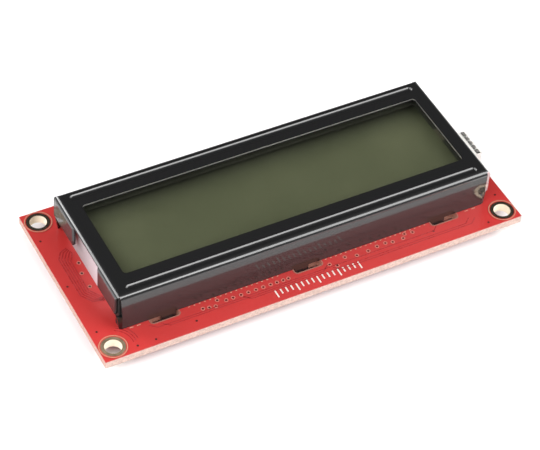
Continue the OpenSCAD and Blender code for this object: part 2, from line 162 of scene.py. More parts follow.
def axes(tree, vector):
    """The X, Y and Z of a place or a direction."""
    node = tree.nodes.new("ShaderNodeSeparateXYZ")
    tree.links.new(vector, node.inputs["Vector"])
    return node.outputs["X"], node.outputs["Y"], node.outputs["Z"]


def facing(tree):
    """The X, Y and Z of the direction that a face looks in."""
    return axes(tree, tree.nodes["Texture Coordinate"].outputs["Normal"])


def upright_faces(tree, tilt=0.5):
    """1 on faces that stand upright, apart from a tilt."""
    return calculate(tree, "LESS_THAN", calculate(tree, "ABSOLUTE", facing(tree)[2]), tilt)


print("zone helpers ready")

# %% [markdown]
# Most pieces need one colour only. Their finish is mottled: the same lumps of noise shift the
# tone and the gloss a little and lift the surface by a few thousandths of a millimetre.

# %% A mottled finish, and how a solid gets one
def add_bump(tree, shader, height, depth_mm):
    """Feeds a height into the shader's normal, with its real depth."""
    node = tree.nodes.new("ShaderNodeBump")
    node.inputs["Distance"].default_value = depth_mm * MM
    tree.links.new(height, node.inputs["Height"])
    tree.links.new(node.outputs["Normal"], shader.inputs["Normal"])
    return node


def shades(colour, tone):
    """A darker and a lighter neighbour of a colour."""
    return tuple(c * (1 - tone) for c in colour), tuple(min(1.0, c * (1 + tone)) for c in colour)


def mottled_finish(name, colour, roughness, grain_mm, bump_mm, metal=0.0, ior=1.5, tone=0.12):
    """A finish whose tone and gloss vary a little, over a finely uneven surface."""
    material, tree, shader, place = new_finish(name, colour, roughness, metal, ior)
    lumps = noise(tree, place, grain_mm)
    mottling = blend_colours(tree, stretch(tree, lumps, 0, 1), *shades(colour, tone))
    tree.links.new(mottling, shader.inputs["Base Color"])
    gloss = stretch(tree, lumps, roughness * 0.85, roughness * 1.15)
    tree.links.new(gloss, shader.inputs["Roughness"])
    add_bump(tree, shader, lumps, bump_mm)
    return material


def dress(node_name, material):
    """Gives a solid of the frame its finish."""
    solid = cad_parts[node_name]
    solid.data.materials.clear()
    solid.data.materials.append(material)
    return solid


print("finish helpers ready")

# %% [markdown]
# Detail on the board is printed, etched or plated: it is flat work, a few hundredths of a
# millimetre high. Scaled cubes and discs could be joined for it, but there would be hundreds of
# them. So the marks of one kind are drawn as corners and faces in one pile, and a last helper
# turns the pile into one piece that rides on the body.

# %% Helpers for prisms and pieces
def new_pile():
    """An empty pile of corners and faces."""
    return {"corners": [], "faces": []}


def close_prism(pile, first, count):
    """Two ends of count corners each, and the sides between them."""
    faces = pile["faces"]
    faces.append(tuple(range(first, first + count)))
    faces.append(tuple(range(first + count, first + 2 * count)))
    for i in range(count):
        j = (i + 1) % count
        faces.append((first + i, first + j, first + count + j, first + count + i))


def add_prism(pile, outline, low, high):
    """An upright prism over a convex outline given in millimetres."""
    first = len(pile["corners"])
    for level in (low, high):
        pile["corners"] += [(x * MM, y * MM, level) for x, y in outline]
    close_prism(pile, first, len(outline))


def pile_object(pile, name):
    """A mesh object from a pile, with every face looking outwards."""
    mesh = bpy.data.meshes.new(name)
    mesh.from_pydata(pile["corners"], [], pile["faces"])
    shell = bmesh.new()
    shell.from_mesh(mesh)
    bmesh.ops.recalc_face_normals(shell, faces=shell.faces)
    shell.to_mesh(mesh)
    shell.free()
    made = bpy.data.objects.new(name, mesh)
    bpy.context.scene.collection.objects.link(made)
    return made


def finish_pile(pile, name, material):
    """One piece from a pile that rides on the body."""
    piece = pile_object(pile, name)
    piece.data.materials.append(material)
    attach(piece, "root")
    print(name, len(piece.data.polygons), "faces")
    return piece


print("prism helpers ready")

# %% [markdown]
# The bezel is folded from steel sheet and stove-enamelled black. Two layers make the gloss: a
# clear sharp one, which mirrors the table and the lamps, and a broad faint one below it, which
# gives the upright walls their haze. Round the window the punch has broken the enamel, and the
# upper part of the cut face shows bare steel. The sheared front end of the right end wall is
# bare as well, and its pale pink colour is a painted highlight. No edge of the solid bounds
# these parts, so they are zones: one is told by its height and its distance from the window's
# middle, the other by its place and direction.

# %% Colours and bare zones of the bezel
ENAMEL = (0.004, 0.004, 0.0043)
STEEL = (0.55, 0.54, 0.54)
# The pale pink of the sheared end is a painted highlight, the bright line of its rounded end.
SHEARED_PAINTED_HIGHLIGHT = (0.4, 0.27, 0.27)
WINDOW_X, WINDOW_Y = 0.33 * MM, 0.43 * MM
WINDOW_HALF_L, WINDOW_HALF_W = 32.5 * MM, 8.55 * MM
WINDOW_MARGIN = 0.1 * MM
BURR_H = 0.22 * MM
CUT_TILT = 0.35
FRONTWARD = -0.7
END_WALL_DEPTH = 0.55 * MM
EAR_TOP = TOP + 3 * MM


def punched_edge(tree, place):
    """1 on the upper part of the cut face round the window."""
    x, y, z = axes(tree, place)
    off_x = calculate(tree, "ABSOLUTE", calculate(tree, "SUBTRACT", x, WINDOW_X))
    off_y = calculate(tree, "ABSOLUTE", calculate(tree, "SUBTRACT", y, WINDOW_Y))
    near_x = calculate(tree, "LESS_THAN", off_x, WINDOW_HALF_L + WINDOW_MARGIN)
    near_y = calculate(tree, "LESS_THAN", off_y, WINDOW_HALF_W + WINDOW_MARGIN)
    high = calculate(tree, "GREATER_THAN", z, BEZEL_HIGH.z - BURR_H)
    return all_of(tree, upright_faces(tree, CUT_TILT), high, near_x, near_y)


def sheared_end(tree, place):
    """1 on the front end of the right end wall, above the ears of the long walls."""
    x, _, z = axes(tree, place)
    endways = calculate(tree, "LESS_THAN", facing(tree)[1], FRONTWARD)
    far_right = calculate(tree, "GREATER_THAN", x, BEZEL_HIGH.x - END_WALL_DEPTH)
    above_ears = calculate(tree, "GREATER_THAN", z, EAR_TOP)
    return all_of(tree, endways, far_right, above_ears)


print("bare steel down to", BURR_H / MM, "mm below the plate")

# %% [markdown]
# The walls spring back a little after folding, so they lean, and the lean decides where the
# reflection of the table begins. It could be modelled, but the solid stays as it is: a height
# that falls with Z gives the lean to the normals of the walls and leaves the flat plate alone.
# The same bump carries the faint waves of a sprayed coat, which painters call orange peel.

# %% Black enamel of the bezel
WALL_LEAN = 0.05
PEEL_GRAIN = 1.5
PEEL_H = 0.001 * MM


def black_enamel():
    """A clear coat over hazy black, bare steel round the window, a painted highlight on the
    sheared end.
    """
    material, tree, shader, place = new_finish("black_enamel", ENAMEL, 0.45, ior=1.45)
    shader.inputs["Specular IOR Level"].default_value = 0.3
    shader.inputs["Coat Weight"].default_value = 1
    shader.inputs["Coat IOR"].default_value = 1.55
    coat_blur = stretch(tree, noise(tree, place, 6), 0.05, 0.09)
    tree.links.new(coat_blur, shader.inputs["Coat Roughness"])
    bare = punched_edge(tree, place)
    punched = blend_colours(tree, bare, ENAMEL, STEEL)
    colour = blend_colours(tree, sheared_end(tree, place), punched, SHEARED_PAINTED_HIGHLIGHT)
    tree.links.new(colour, shader.inputs["Base Color"])
    tree.links.new(bare, shader.inputs["Metallic"])
    peel = calculate(tree, "MULTIPLY", noise(tree, place, PEEL_GRAIN, detail=1), PEEL_H)
    lean = calculate(tree, "MULTIPLY", axes(tree, place)[2], WALL_LEAN)
    bump = add_bump(tree, shader, calculate(tree, "SUBTRACT", peel, lean), 1 / MM)
    tree.links.new(bump.outputs["Normal"], shader.inputs["Coat Normal"])
    return material


dress("bezel", black_enamel())
print("bezel faces:", len(bezel.data.polygons))

# %% [markdown]
# The sheet is sheared and punched, and the enamel rounds every cut edge. Sharp edges of a solid
# catch no light at all, while a rounded edge shows a thin bright line: that line is most of what
# tells the eye that the frame is a sheet. The round could be cut into the mesh, but a modifier
# leaves the solid's own mesh alone, and its angle limit picks the sharp edges and spares the
# facets of the folds.

# %% Rounded edges of the sheet
EDGE_ROUND = 0.09 * MM
rounding = bezel.modifiers.new("rounded_edges", "BEVEL")
rounding.width = EDGE_ROUND
rounding.segments = 3
rounding.limit_method = "ANGLE"
rounding.angle_limit = math.radians(70)
rounding.use_clamp_overlap = False
print("edges rounded by", EDGE_ROUND / MM, "mm")

# %% [markdown]
# The folds of the end walls run out to the corners, and there each would stand up beyond the
# fold of the long wall. On the real sheet the corner is trimmed to the long fold's curve. Pulling
# single corners of the mesh down would dent the fold, so a cutter trims it: over each long fold
# it takes away what stands higher than a curve just outside the fold. The cutter comes after the
# rounding, and it is hidden, because it isn't part of the module.

# %% Trimmed corners of the sheet
BEND_R = 1 * MM
TRIM_GAP = 0.03 * MM
TRIM_STEPS = 12


def trim_profile(wall, side):
    """A block's outline in Y and Z, hollowed below to the curve of the long fold."""
    middle, reach = wall - side * BEND_R, BEND_R + TRIM_GAP
    turns = [math.radians(90 * i / TRIM_STEPS) for i in range(TRIM_STEPS + 1)]
    curve = [(middle + side * reach * math.sin(t), BEZEL_HIGH.z - BEND_R + reach * math.cos(t))
             for t in turns]
    beyond, above = wall + side * BEND_R, BEZEL_HIGH.z + BEND_R
    return curve + [(beyond, curve[-1][1]), (beyond, above), (middle, above)]


def corner_cutter():
    """Four such blocks, one over each corner."""
    pile = new_pile()
    left = (BEZEL_LOW.x - BEND_R, BEZEL_LOW.x + 2 * BEND_R)
    right = (BEZEL_HIGH.x - 2 * BEND_R, BEZEL_HIGH.x + BEND_R)
    for wall, side in ((FRONT_WALL_Y, -1), (REAR_WALL_Y, 1)):
        profile = trim_profile(wall, side)
        for ends in (left, right):
            first = len(pile["corners"])
            for x in ends:
                pile["corners"] += [(x, y, z) for y, z in profile]
            close_prism(pile, first, len(profile))
    cutter = pile_object(pile, "corner_cutter")
    cutter.hide_render = True
    return cutter


trimming = bezel.modifiers.new("trimmed_corners", "BOOLEAN")
trimming.operation = "DIFFERENCE"
trimming.solver = "EXACT"
trimming.object = corner_cutter()
shown = bezel.evaluated_get(bpy.context.evaluated_depsgraph_get())
print("bezel faces after trimming:", len(shown.data.polygons))

# %% [markdown]
# At the right front corner the front wall and its fold run on to the end wall, and only a line
# of bare sheet shows beyond them. So a thin strip carries the front wall on to that corner. It
# is a row of four-cornered sections that climb the wall and follow its fold, and each section
# ends either on the slanted end of the wall or on the round of the end wall's own fold.

# %% Closed right corner
STRIP_SUNK, STRIP_THICK = 0.015 * MM, 0.12 * MM
STRIP_L = 1.2 * MM
STRIP_END_LOW, STRIP_END_HIGH = BEZEL_HIGH.x - 0.42 * MM, BEZEL_HIGH.x - 0.06 * MM
FOLD_Y, FOLD_Z = FRONT_WALL_Y + BEND_R, BEZEL_HIGH.z - BEND_R
WALL_STEPS, FOLD_STEPS = 4, 18


def join_sections(pile, first, count):
    """Faces along a row of four-cornered sections, and over both of its ends."""
    for i in range(count - 1):
        a, b = first + 4 * i, first + 4 * (i + 1)
        for k in range(4):
            pile["faces"].append((a + k, a + (k + 1) % 4, b + (k + 1) % 4, b + k))
    for end in (first, first + 4 * (count - 1)):
        pile["faces"].append(tuple(range(end, end + 4)))


def strip_profile():
    """Outer and inner points of the strip, up the wall and over the fold."""
    face = FRONT_WALL_Y + STRIP_SUNK
    levels = [EAR_TOP + (FOLD_Z - EAR_TOP) * i / WALL_STEPS for i in range(WALL_STEPS)]
    profile = [(face, z, face + STRIP_THICK, z) for z in levels]
    outer, inner = BEND_R - STRIP_SUNK, BEND_R - STRIP_SUNK - STRIP_THICK
    for i in range(FOLD_STEPS + 1):
        t = math.radians(90 * i / FOLD_STEPS)
        profile.append((FOLD_Y - outer * math.cos(t), FOLD_Z + outer * math.sin(t),
                        FOLD_Y - inner * math.cos(t), FOLD_Z + inner * math.sin(t)))
    return profile


def strip_end(z):
    """Where the strip ends at a height: the wall's slanted end, or the round of the fold."""
    slant = (STRIP_END_HIGH - STRIP_END_LOW) * (min(z, FOLD_Z) - EAR_TOP) / (FOLD_Z - EAR_TOP)
    over = max(0.0, z - FOLD_Z)
    reach = math.sqrt(max(0.0, BEND_R ** 2 - over ** 2))
    return min(STRIP_END_LOW + slant, BEZEL_HIGH.x - BEND_R + reach - STRIP_SUNK)


strip, sections = new_pile(), strip_profile()
for outer_y, outer_z, inner_y, inner_z in sections:
    start, end = BEZEL_HIGH.x - STRIP_L, strip_end(outer_z)
    strip["corners"] += [(start, outer_y, outer_z), (end, outer_y, outer_z),
                         (end, inner_y, inner_z), (start, inner_y, inner_z)]
join_sections(strip, 0, len(sections))
finish_pile(strip, "right_corner_strip", bezel.data.materials[0])

# %% [markdown]
# At the left front corner the slit between the two walls lies in shade. A dull black post stands
# inside the corner, behind the slit, as painted shade that keeps it dark.

# %% Painted shade in the left corner
POST_INSET = 0.55
POST_L, POST_W = 1.1, 1.3
POST_LOW, POST_HIGH = TOP + 0.1 * MM, BEZEL_HIGH.z - 0.6 * MM
post_x, post_y = BEZEL_LOW.x / MM + POST_INSET, FRONT_WALL_Y / MM + POST_INSET
post = new_pile()
add_prism(post, [(post_x, post_y), (post_x + POST_L, post_y), (post_x, post_y + POST_W)],
          POST_LOW, POST_HIGH)
# The post is painted shade, not a part of the module.
painted_shade_black = mottled_finish("corner_shade_black", (0.006, 0.006, 0.006), 0.6, 0.5, 0.002)
finish_pile(post, "left_corner_shade_post", painted_shade_black)

# %% [markdown]
# The board is glass-fibre laminate under a red solder mask. The mask runs a little way over the
# upper edge; below that the side faces are bare, pale laminate, and so are the walls of the
# slots. The board could be split into layers for this, but a test needs no cut: the direction of
# a face tells a side from a top, and the distance from the middle tells the outline from a slot.
# The cut fibres are mottled by a fine grain, and the left edge, which looks away from the lamps in
# front, is painted darker than the front as painted shade.

# %% Bare edges of the board
LAMINATE = (0.54, 0.385, 0.33)
LAMINATE_LEFT_PAINTED_SHADE = (0.46, 0.277, 0.228)
SLOT_WALL = (0.25, 0.14, 0.1)
FIBRE_GRAIN, FIBRE_TONE = 0.35, 0.2
LEFTWARD = -0.5
MASK_SETBACK = 0.03 * MM


def outline_zone(tree, x, y):
    """1 on the outline of the board, 0 on the walls of its slots."""
    past_x = calculate(tree, "GREATER_THAN", calculate(tree, "ABSOLUTE", x),
                       BOARD_HIGH.x - MASK_SETBACK)
    past_y = calculate(tree, "GREATER_THAN", calculate(tree, "ABSOLUTE", y),
                       BOARD_HIGH.y - MASK_SETBACK)
    return calculate(tree, "MAXIMUM", past_x, past_y)


def cut_laminate(tree, place, outer):
    """Pale fibre on the outline with painted shade on the left edge, brown on the walls of the
    slots.
    """
    grain = stretch(tree, noise(tree, place, FIBRE_GRAIN), 0, 1)
    pale = blend_colours(tree, grain, *shades(LAMINATE, FIBRE_TONE))
    darker = blend_colours(tree, grain, *shades(LAMINATE_LEFT_PAINTED_SHADE, FIBRE_TONE))
    # Faces that look left get the darker laminate as painted shade.
    leftward = calculate(tree, "LESS_THAN", facing(tree)[0], LEFTWARD)
    return blend_colours(tree, outer, SLOT_WALL, blend_colours(tree, leftward, pale, darker))


print("board outline", round(2 * BOARD_HIGH.x / MM, 2), "x", round(2 * BOARD_HIGH.y / MM, 2), "mm")

# %% [markdown]
# Laminate is translucent: light soaks into it and comes out of the slot walls with the red of
# the mask. Light that is traced through the laminate would show it too, but with much noise in
# so small a place. So a glow stands for it; it is strongest on the slot walls near the outside,
# which face the bezel and are mirrored in it.

# %% Red board
MASK_RED = (0.41, 0.027, 0.025)
SOAKED_LIGHT = (0.5, 0.2, 0.16)
FAINT_GLOW, STRONG_GLOW = 0.12, 1.5
MASK_ROUGHNESS, BARE_ROUGHNESS = 0.28, 0.6
MASK_OVERHANG = 0.2 * MM


def solder_mask():
    """Red mask, bare laminate on the sides, and a glow on the walls of the slots."""
    material, tree, shader, place = new_finish("red_solder_mask", MASK_RED, 0.3)
    x, y, z = axes(tree, place)
    upright, outer = upright_faces(tree), outline_zone(tree, x, y)
    low = calculate(tree, "LESS_THAN", z, TOP - MASK_OVERHANG)
    bare = all_of(tree, calculate(tree, "MAXIMUM", upright, outer), low)
    cloud = stretch(tree, noise(tree, place, 9), 0, 1)
    mask = blend_colours(tree, cloud, *shades(MASK_RED, 0.05))
    colour = blend_colours(tree, bare, mask, cut_laminate(tree, place, outer))
    tree.links.new(colour, shader.inputs["Base Color"])
    inner_wall = calculate(tree, "SUBTRACT", upright, all_of(tree, upright, outer))
    towards_wall = stretch(tree, facing(tree)[1], FAINT_GLOW, STRONG_GLOW, 0, 1)
    glow = calculate(tree, "MULTIPLY", inner_wall, towards_wall)
    shader.inputs["Emission Color"].default_value = (*SOAKED_LIGHT, 1)
    tree.links.new(glow, shader.inputs["Emission Strength"])
    roughness = stretch(tree, bare, MASK_ROUGHNESS, BARE_ROUGHNESS, 0, 1)
    tree.links.new(roughness, shader.inputs["Roughness"])
    add_bump(tree, shader, noise(tree, place, 2.5), 0.006)
    return material


dress("circuit_board", solder_mask())
print("mask runs", MASK_OVERHANG / MM, "mm over the edge")

# %% [markdown]
# Bare copper is tinned so that it doesn't tarnish. The big rings round the mounting holes lie
# flat and mirror the dark room, so they look brown, and only their grain is seen. The one at the
# front left corner is made duller and tan: a painted reflection of the light that it catches.
# The bores are painted pale as painted light, for the lit table seen through the holes. All
# four are one solid, so one finish does both, and the sum of X and Y tells that corner from the
# others.

# %% Tinned rings of the mounting holes
BORE_TIN_PAINTED_LIGHT = (0.86, 0.76, 0.62)
BRIGHT_TIN = ((0.3, 0.22, 0.15), (0.62, 0.5, 0.38))
DULL_TIN_PAINTED_REFLECTION = ((0.12, 0.09, 0.055), (0.3, 0.23, 0.15))
DULL_CORNER = -45 * MM
DULL_SHARE = 0.65


def ring_finish():
    """Dark mirror on the flat ring, a painted reflection on the duller corner ring, painted light
    in the bore.
    """
    material, tree, shader, place = new_finish("ring_tin", (0.5, 0.4, 0.3), 0.3)
    upright = upright_faces(tree)
    x, y, _ = axes(tree, place)
    dull = calculate(tree, "LESS_THAN", calculate(tree, "ADD", x, y), DULL_CORNER)
    flat = blend_colours(tree, stretch(tree, noise(tree, place, 0.6), 0, 1), *BRIGHT_TIN)
    # The tan of the duller corner ring is a painted reflection of the light that it catches.
    tan = blend_colours(tree, stretch(tree, noise(tree, place, 0.9), 0, 1), *DULL_TIN_PAINTED_REFLECTION)
    ring_top_colour = blend_colours(tree, dull, flat, tan)
    # The pale bore is painted light for the lit table seen through the hole.
    tree.links.new(blend_colours(tree, upright, ring_top_colour, BORE_TIN_PAINTED_LIGHT), shader.inputs["Base Color"])
    unmetallic = calculate(tree, "MAXIMUM", upright, calculate(tree, "MULTIPLY", dull, DULL_SHARE))
    tree.links.new(stretch(tree, unmetallic, 1, 0, 0, 1), shader.inputs["Metallic"])
    tree.links.new(stretch(tree, upright, 0.22, 0.5, 0, 1), shader.inputs["Roughness"])
    add_bump(tree, shader, noise(tree, place, 0.8), 0.004)
    return material


dress("mounting_rings", ring_finish())
print("mounting rings tinned")

# %% [markdown]
# The other tinned parts are small, and each kind has one mottled finish. The rims round the tab
# slots are thin, and their red-brown colour is a painted reflection of the red mask.

# %% Tinned rims, pads and leads
# The red-brown of the rims is a painted reflection of the mask.
rim_tin_red_reflection = mottled_finish("rim_tin_red_reflection", (0.33, 0.13, 0.1), 0.45, 0.4, 0.004, metal=0.2)
pad_tin = mottled_finish("pad_tin", (0.62, 0.56, 0.44), 0.35, 0.5, 0.004, metal=1.0)
lead_tin = mottled_finish("lead_tin", (0.7, 0.69, 0.66), 0.28, 0.3, 0.003, metal=1.0)
dress("slot_rims", rim_tin_red_reflection)
for name in ("header_pads", "pin_pads"):
    dress(name, pad_tin)
for name in ("backlight_pins", "connector_contacts", "connector_anchors", "microcontroller_leads",
             "package_leads", "chip_terminals", "solder_joints"):
    dress(name, lead_tin)
print("tinned parts dressed")

# %% [markdown]
# The mask laps over the outer part of each mounting ring, so less of the tin shows than the solid
# has. On the lap a thin pale outline is printed. A zone in the finish of the rings could paint
# the lap, but a real lap is a layer with an edge. So both are flat rings on either face.

# %% Mask lap and outline round each mounting ring
RINGS_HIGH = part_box("mounting_rings")[1]
RING_X, RING_Y = 37.5, 15.5
LAP_INNER, LAP_OUTER = 2.14, (RINGS_HIGH.x / MM - RING_X) + 0.03
OUTLINE_INNER, OUTLINE_OUTER = 2.3, 2.42
LAP_H, OUTLINE_H = 0.07 * MM, 0.085 * MM
LAP_SIDES = 48


def circle_points(x, y, radius, count):
    """Points round a circle, in millimetres."""
    turns = [2 * math.pi * i / count for i in range(count)]
    return [(x + radius * math.cos(t), y + radius * math.sin(t)) for t in turns]


def add_ring(pile, x, y, inner, outer, low, high, count):
    """A flat ring with a hole in it."""
    first = len(pile["corners"])
    for radius, level in ((inner, low), (outer, low), (outer, high), (inner, high)):
        pile["corners"] += [(u * MM, v * MM, level) for u, v in circle_points(x, y, radius, count)]
    for side in range(4):
        for i in range(count):
            j = (i + 1) % count
            a, b = first + side * count, first + (side + 1) % 4 * count
            pile["faces"].append((a + i, a + j, b + j, b + i))


laps, outlines = new_pile(), new_pile()
for x in (-RING_X, RING_X):
    for y in (-RING_Y, RING_Y):
        for face, away in ((TOP, 1), (BACK, -1)):
            lap = sorted((face, face + away * LAP_H))
            print_on_lap = sorted((face, face + away * OUTLINE_H))
            add_ring(laps, x, y, LAP_INNER, LAP_OUTER, *lap, LAP_SIDES)
            add_ring(outlines, x, y, OUTLINE_INNER, OUTLINE_OUTER, *print_on_lap, LAP_SIDES)
lap_red = mottled_finish("mask_lap", MASK_RED, 0.3, 2, 0.003, tone=0.05)
pale_print = mottled_finish("pale_outline", (0.4, 0.25, 0.16), 0.5, 0.3, 0.003)
finish_pile(laps, "ring_laps", lap_red)
finish_pile(outlines, "ring_outlines", pale_print)
print("tin shows up to a radius of", LAP_INNER, "mm")

# %% [markdown]
# Tracks lie under the mask: they lift it by the thickness of the copper, and the mask over copper
# is a darker red than over laminate. A curve with a round bevel would give the same run, but its
# sides would slope; a track is etched with upright sides, so it is a rib with mitred bends.

# %% Helper for tracks
TRACK_H = 0.03 * MM
TRACK_W, FINE_TRACK_W = 0.22, 0.16


def add_rib(pile, path, width, low, high):
    """A low rib along a path, with mitred bends."""
    first, count = len(pile["corners"]), len(path)
    for i, point in enumerate(path):
        before = Vector(path[max(i - 1, 0)])
        after = Vector(path[min(i + 1, count - 1)])
        here = Vector(point)
        ways = [w.normalized() for w in (here - before, after - here) if w.length > 0]
        along = sum(ways, Vector((0, 0))).normalized()
        reach = width / 2 / max(0.5, abs(along.dot(ways[0])))
        across = Vector((-along.y, along.x)) * reach
        for side, level in ((-1, low), (1, low), (1, high), (-1, high)):
            spot = here + side * across
            pile["corners"].append((spot.x * MM, spot.y * MM, level))
    join_sections(pile, first, count)


print("tracks are", TRACK_W, "and", FINE_TRACK_W, "mm wide")

# %% [markdown]
# On the left a bundle of five tracks runs round the middle, a few long ones follow the front
# edge, and three bend round the hole at the front left. Each kind has its own short function, so
# that the tracks of a kind stay in step.

# %% Tracks under the mask
TRACK_PITCH = 0.42
BUNDLE_TRACKS, HOLE_TRACKS = 5, 3
EDGE_TRACK_ENDS = ((-29, 24), (-27, 2), (-12, 30), (5, 31))


def bundle_path(i):
    """Track i of the bundle on the left, counted from the outside."""
    x = -37.8 + TRACK_PITCH * i
    turn_y, end_y = 6.0 - 0.3 * i, -3.0 + 0.15 * i
    return [(-35.6 + 0.12 * i, turn_y + 1.9), (x + 0.9, turn_y + 1.4), (x, turn_y),
            (x, end_y), (x + 1.3, end_y - 2.0), (-34.6 + 0.12 * i, end_y - 2.6)]


def edge_path(i, start, end):
    """Track i along the front edge, whose two ends turn towards the bezel."""
    y = -14.75 - TRACK_PITCH * i
    return [(start - 1.2, y + 1.0), (start, y), (end, y), (end + 1.2, y + 1.0)]


def hole_path(i):
    """Track i round the hole at the front left."""
    radius = 3.5 + 0.5 * i
    turns = [math.radians(a) for a in range(-8 + 4 * i, 72 - 4 * i, 8)]
    return [(-RING_X + radius * math.cos(t), -RING_Y + radius * math.sin(t)) for t in turns]


tracks = new_pile()
for i in range(BUNDLE_TRACKS):
    add_rib(tracks, bundle_path(i), TRACK_W, TOP, TOP + TRACK_H)
for i, (start, end) in enumerate(EDGE_TRACK_ENDS):
    add_rib(tracks, edge_path(i, start, end), FINE_TRACK_W, TOP, TOP + TRACK_H)
for i in range(HOLE_TRACKS):
    add_rib(tracks, hole_path(i), FINE_TRACK_W, TOP, TOP + TRACK_H)
track_red = mottled_finish("mask_over_copper", (0.3, 0.021, 0.022), 0.28, 2, 0.003, tone=0.08)
finish_pile(tracks, "front_tracks", track_red)

# %% [markdown]
# A via is a plated hole that carries a track through the board. From above it is a dark hole in
# the mask, and most have a small pale ring printed round them. A hole this small shows nothing
# of its depth, so each via is a dark disc, painted shade for its bore, and the board isn't cut.
# Most stand in a row along the front of the bezel, where the display's contacts come through;
# the others are scattered along the left wall and the edges.

# %% Vias
VIA_HOLE_R, LONE_HOLE_R = 0.16, 0.2
VIA_RING_INNER, VIA_RING_OUTER = 0.27, 0.36
VIA_RING_H, VIA_HOLE_H = 0.03 * MM, 0.02 * MM
VIA_SIDES = 16
via_row = [(-20.5, -14.2), (-19.4, -14.4), (-18.3, -14.6), (-17.5, -13.5), (-16.1, -14.1),
           (-14.8, -14.1), (-13.3, -14.1), (-11.9, -14.1), (-10.5, -14.1), (-9.1, -14.1),
           (-7.7, -14.1), (-6.5, -14.1), (-5.3, -14.1), (-4.3, -14.1), (3.6, -14.2),
           (4.7, -15.0), (6.8, -13.8), (8.9, -14.3), (11.2, -14.2), (13.1, -13.9), (14.8, -13.8),
           (16.1, -14.1), (18.2, -14.1), (18.9, -13.3), (20.4, -13.5)]
wall_vias = [(-35.04, 3.89), (-35.54, 1.5), (-35.54, -1.79), (-34.84, -5.18)]
lone_vias = [(-38.94, 11.16), (-38.95, -0.28), (-38.65, -11.45), (-33.74, -16.95),
             (-30.43, -16.96), (-22.61, -16.17), (23.9, -14.8), (33.8, -17.0), (38.4, -11.7)]
via_rings, via_holes = new_pile(), new_pile()
for x, y in via_row + wall_vias:
    add_ring(via_rings, x, y, VIA_RING_INNER, VIA_RING_OUTER, TOP, TOP + VIA_RING_H, VIA_SIDES)
for x, y in via_row + wall_vias + lone_vias:
    bore = VIA_HOLE_R if (x, y) in via_row else LONE_HOLE_R
    add_prism(via_holes, circle_points(x, y, bore, VIA_SIDES), TOP, TOP + VIA_HOLE_H)
via_print = mottled_finish("via_print", (0.5, 0.22, 0.17), 0.4, 0.2, 0.002)
via_bore_shade = mottled_finish("via_bore", (0.02, 0.004, 0.004), 0.5, 0.2, 0.002)
finish_pile(via_rings, "via_rings", via_print)
finish_pile(via_holes, "via_bores", via_bore_shade)
print(len(via_row) + len(wall_vias) + len(lone_vias), "vias")

# %% [markdown]
# Short pale strokes of print and pad edges peep out along the foot of the front wall, at the
# pitch of the display's contacts, and a longer pair stands at either end.

# %% Strokes along the foot of the bezel
PRINT_H = 0.025 * MM
CONTACT_PITCH = 0.98
CONTACT_ROWS = ((-22.4, -4.0), (3.6, 24.2))
END_STROKES_X = (-33.0, -31.7, 31.7, 33.1)
STROKE_L, END_STROKE_L, STROKE_W = 0.3, 0.7, 0.1
FOOT_Y = FRONT_WALL_Y / MM - 0.16
END_FOOT_Y = FOOT_Y - 0.1


def add_bar(pile, x, y, length, width, low, high):
    """An upright box with its middle at x, y."""
    a, b = length / 2, width / 2
    add_prism(pile, [(x - a, y - b), (x + a, y - b), (x + a, y + b), (x - a, y + b)], low, high)


foot_strokes = new_pile()
for start, end in CONTACT_ROWS:
    for i in range(int((end - start) / CONTACT_PITCH)):
        x = start + CONTACT_PITCH * i
        add_bar(foot_strokes, x, FOOT_Y, STROKE_L, STROKE_W, TOP, TOP + PRINT_H)
for x in END_STROKES_X:
    add_bar(foot_strokes, x, END_FOOT_Y, END_STROKE_L, STROKE_W, TOP, TOP + PRINT_H)
foot_tin = mottled_finish("foot_tin", (0.55, 0.36, 0.26), 0.4, 0.3, 0.002)
finish_pile(foot_strokes, "foot_strokes", foot_tin)

# %% [markdown]
# In front of the bezel the board carries plain graduations, a simple printed scale without any
# figures. An array modifier could repeat one mark, but every fourth mark is a long one, so a loop
# draws them. All of them end on the same line.

# %% A plain scale
SCALE_MARKS = 17
SCALE_X, SCALE_Y = -7.7, -16.4
MARK_W, LONG_MARK, SHORT_MARK = 0.26, 1.7, 1.2
scale = new_pile()
for i in range(SCALE_MARKS):
    length = LONG_MARK if i % 4 == 0 else SHORT_MARK
    middle_y = SCALE_Y + (LONG_MARK - length) / 2
    add_bar(scale, SCALE_X + i, middle_y, MARK_W, length, TOP, TOP + PRINT_H)
print_white = mottled_finish("white_print", (0.62, 0.55, 0.5), 0.5, 0.3, 0.002, tone=0.06)
finish_pile(scale, "printed_scale", print_white)

# %% [markdown]
# The back carries the same kinds of detail. A pale outline is printed round the larger packages
# and round the header pads. It is plain and regular, because only its kind is known.

# %% Print on the back
BACK_LINE_W = 0.15
PACKAGE_MARGIN, HEADER_MARGIN = 0.9, 0.35


def frame_round(pile, low, high, margin):
    """A printed rectangle round a box, just under the back face."""
    x0, y0 = low.x / MM - margin, low.y / MM - margin
    x1, y1 = high.x / MM + margin, high.y / MM + margin
    length, width = x1 - x0 - BACK_LINE_W, y1 - y0 + BACK_LINE_W
    for x in (x0, x1):
        add_bar(pile, x, (y0 + y1) / 2, BACK_LINE_W, width, BACK - PRINT_H, BACK)
    for y in (y0, y1):
        add_bar(pile, (x0 + x1) / 2, y, length, BACK_LINE_W, BACK - PRINT_H, BACK)


back_print = new_pile()
for name in ("microcontroller_body", "regulator_body", "resonator_body"):
    frame_round(back_print, *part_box(name), PACKAGE_MARGIN)
frame_round(back_print, *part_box("header_pads"), HEADER_MARGIN)
finish_pile(back_print, "back_outlines", print_white)

# %% [markdown]
# Four tracks run from the controller towards the connector and eight towards the header. They
# start and end at distances from the boxes of the controller and the connector, which keeps them
# clear of the pads.

